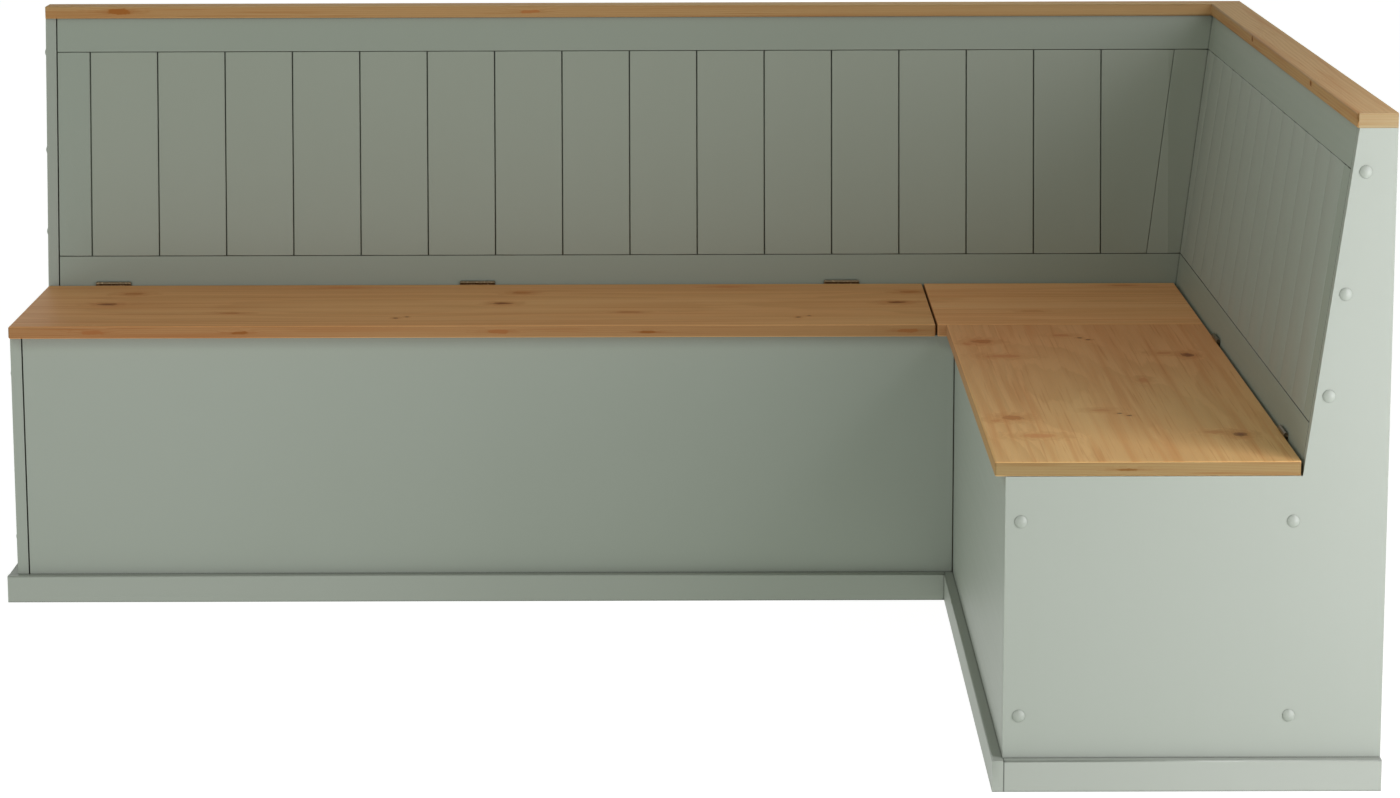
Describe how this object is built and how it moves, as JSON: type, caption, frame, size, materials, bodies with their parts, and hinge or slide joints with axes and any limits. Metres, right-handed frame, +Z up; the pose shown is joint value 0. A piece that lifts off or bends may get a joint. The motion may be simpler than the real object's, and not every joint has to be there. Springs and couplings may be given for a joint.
{
  "type": "corner storage bench",
  "caption": "L-shaped corner storage bench with a sloping boarded backrest, a timber cap rail and hinged seat lids over storage boxes.",
  "frame": {"origin": "on the floor, under the middle of the bench's outline, plinths included", "axes": "+X right along the long leg, as its sitter's left to right seen from the front; +Y back to the long leg's wall; +Z up. The short leg runs forward, to -Y, along the +X side."},
  "size_m": [2.075, 1.655, 0.935],
  "materials": {
    "painted_timber": "satin sage-grey paint",
    "pine": "waxed knotty pine",
    "raw_timber": "planed, unfinished",
    "plywood": "sanded plywood",
    "bronze_hinge": "dark antique bronze",
    "zinc_screw": "zinc plated",
    "painted_cap": "painted to match the panels"
  },
  "bodies": {
    "carcass": {"corner_seat_board": "pine", "corner_seat_long_cleat": "raw_timber", "corner_seat_short_cleat": "raw_timber", "inner_corner_batten": "raw_timber", "long_back_screws": "zinc_screw", "long_backrest_bottom_rail": "painted_timber", "long_backrest_corner_stile": "painted_timber", "long_backrest_crossbars": "raw_timber", "long_backrest_end_stile": "painted_timber", "long_backrest_planks": "painted_timber", "long_backrest_top_rail": "painted_timber", "long_backrest_uprights": "raw_timber", "long_box_floor": "plywood", "long_cap_rail": "pine", "long_divider": "painted_timber", "long_end_panel": "painted_timber", "long_end_plinth": "painted_timber", "long_end_screw_caps": "painted_cap", "long_end_screws": "zinc_screw", "long_floor_cleats": "raw_timber", "long_front_end_batten": "raw_timber", "long_front_panel": "painted_timber", "long_front_plinth": "painted_timber", "long_hinge_fixed_leaves": "bronze_hinge", "long_hinge_fixed_screws": "bronze_hinge", "long_hinge_pins": "bronze_hinge", "long_rear_ribs": "raw_timber", "long_seat_back_panel": "painted_timber", "short_back_screws": "zinc_screw", "short_backrest_bottom_rail": "painted_timber", "short_backrest_corner_stile": "painted_timber", "short_backrest_crossbars": "raw_timber", "short_backrest_end_stile": "painted_timber", "short_backrest_planks": "painted_timber", "short_backrest_top_rail": "painted_timber", "short_backrest_uprights": "raw_timber", "short_box_floor": "plywood", "short_cap_rail": "pine", "short_divider": "painted_timber", "short_end_panel": "painted_timber", "short_end_plinth": "painted_timber", "short_end_screw_caps": "painted_cap", "short_end_screws": "zinc_screw", "short_floor_cleats": "raw_timber", "short_front_end_batten": "raw_timber", "short_front_panel": "painted_timber", "short_front_plinth": "painted_timber", "short_hinge_fixed_leaves": "bronze_hinge", "short_hinge_fixed_screws": "bronze_hinge", "short_hinge_pins": "bronze_hinge", "short_rear_ribs": "raw_timber", "short_seat_back_panel": "painted_timber"},
    "long_lid": {"long_hinge_lid_leaves": "bronze_hinge", "long_hinge_lid_screws": "bronze_hinge", "long_lid": "pine", "long_lid_battens": "raw_timber"},
    "short_lid": {"short_hinge_lid_leaves": "bronze_hinge", "short_hinge_lid_screws": "bronze_hinge", "short_lid": "pine", "short_lid_battens": "raw_timber"}
  },
  "joints": [
    {"name": "long_lid_hinge", "type": "hinge", "parent": "carcass", "child": "long_lid", "pos_m": [-0.268, 0.71099, 0.4635], "axis": [-1, 0, 0], "range_deg": [0, 97]},
    {"name": "short_lid_hinge", "type": "hinge", "parent": "carcass", "child": "short_lid", "pos_m": [0.92099, -0.26062, 0.4635], "axis": [0, 1, 0], "range_deg": [0, 97]}
  ]
}
